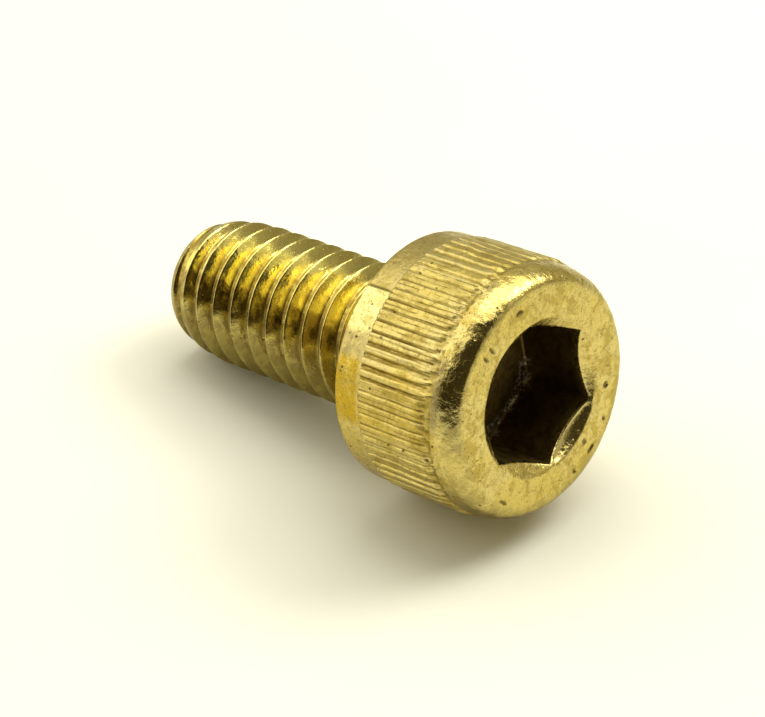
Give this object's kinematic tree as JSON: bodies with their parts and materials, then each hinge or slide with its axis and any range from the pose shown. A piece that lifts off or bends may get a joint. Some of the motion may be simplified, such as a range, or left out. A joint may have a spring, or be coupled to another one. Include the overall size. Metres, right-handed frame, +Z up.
{
  "type": "socket head cap screw",
  "caption": "Short metric socket head cap screw with a straight-knurled cylindrical head, hexagon socket, rounded rim and a right-hand thread up to the head.",
  "frame": {"origin": "centre of the bearing face under the head, on the bolt's axis", "axes": "+X along the bolt's axis, from the bearing face towards the hexagon socket, so the shank points along -X; +Z up when the bolt lies on its side; +Y completes a right-hand frame"},
  "size_m": [0.018, 0.01, 0.01],
  "materials": {
    "head_finish": "yellow passivated zinc plate on forged steel, fine pitting, satin",
    "thread_finish": "yellow passivated zinc plate on rolled thread, glossier than the head"
  },
  "bodies": {
    "root": {"socket_head": "head_finish", "threaded_shank": "thread_finish"}
  },
  "joints": []
}
